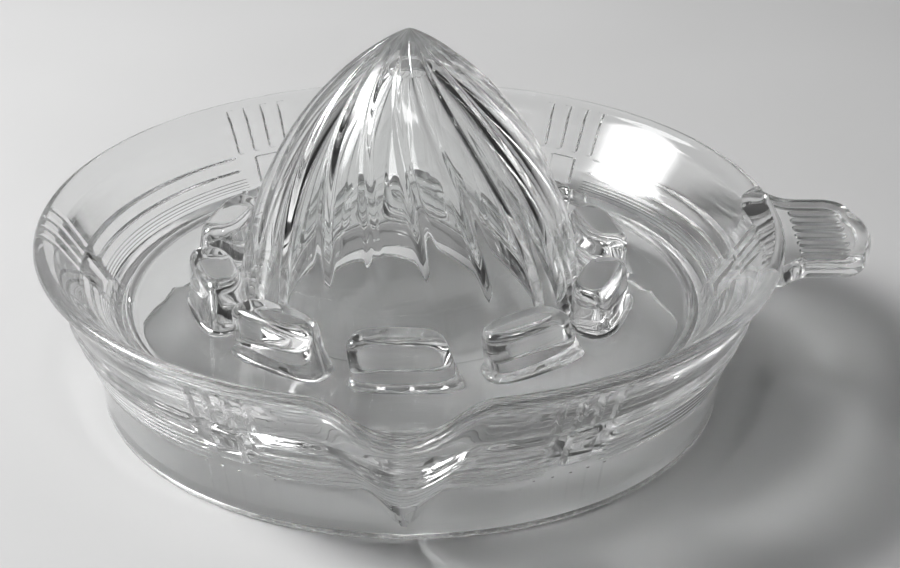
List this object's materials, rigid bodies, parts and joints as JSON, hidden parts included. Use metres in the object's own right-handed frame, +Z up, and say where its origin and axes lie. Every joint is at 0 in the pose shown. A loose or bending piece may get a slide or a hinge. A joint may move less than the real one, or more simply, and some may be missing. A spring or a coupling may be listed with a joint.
{
  "type": "citrus reamer",
  "caption": "Clear pressed-glass hand juicer: a fluted hollow cone in a footed dish with a seed-catching lug ring, a pouring lip and a ribbed tab handle.",
  "frame": {"origin": "on the table, under the middle of the object's bounding box; the cone's axis stands 9.15 mm towards -X and 4.7 mm towards +Y of it", "axes": "+X towards the handle, -Y towards the pouring lip, +Z up along the cone"},
  "size_m": [0.173, 0.1642, 0.0782],
  "materials": {
    "bowl_glass": "clear pressed glass, fire polished",
    "cone_glass": "clear pressed glass, fire polished",
    "lug_glass": "clear pressed glass, fire polished",
    "handle_glass": "clear pressed glass, fire polished"
  },
  "bodies": {
    "root": {"bowl": "bowl_glass", "reamer_cone": "cone_glass", "handle_tab": "handle_glass", "seed_lug_01": "lug_glass", "seed_lug_02": "lug_glass", "seed_lug_03": "lug_glass", "seed_lug_04": "lug_glass", "seed_lug_05": "lug_glass", "seed_lug_06": "lug_glass", "seed_lug_07": "lug_glass", "seed_lug_08": "lug_glass", "seed_lug_09": "lug_glass", "seed_lug_10": "lug_glass"}
  },
  "joints": []
}
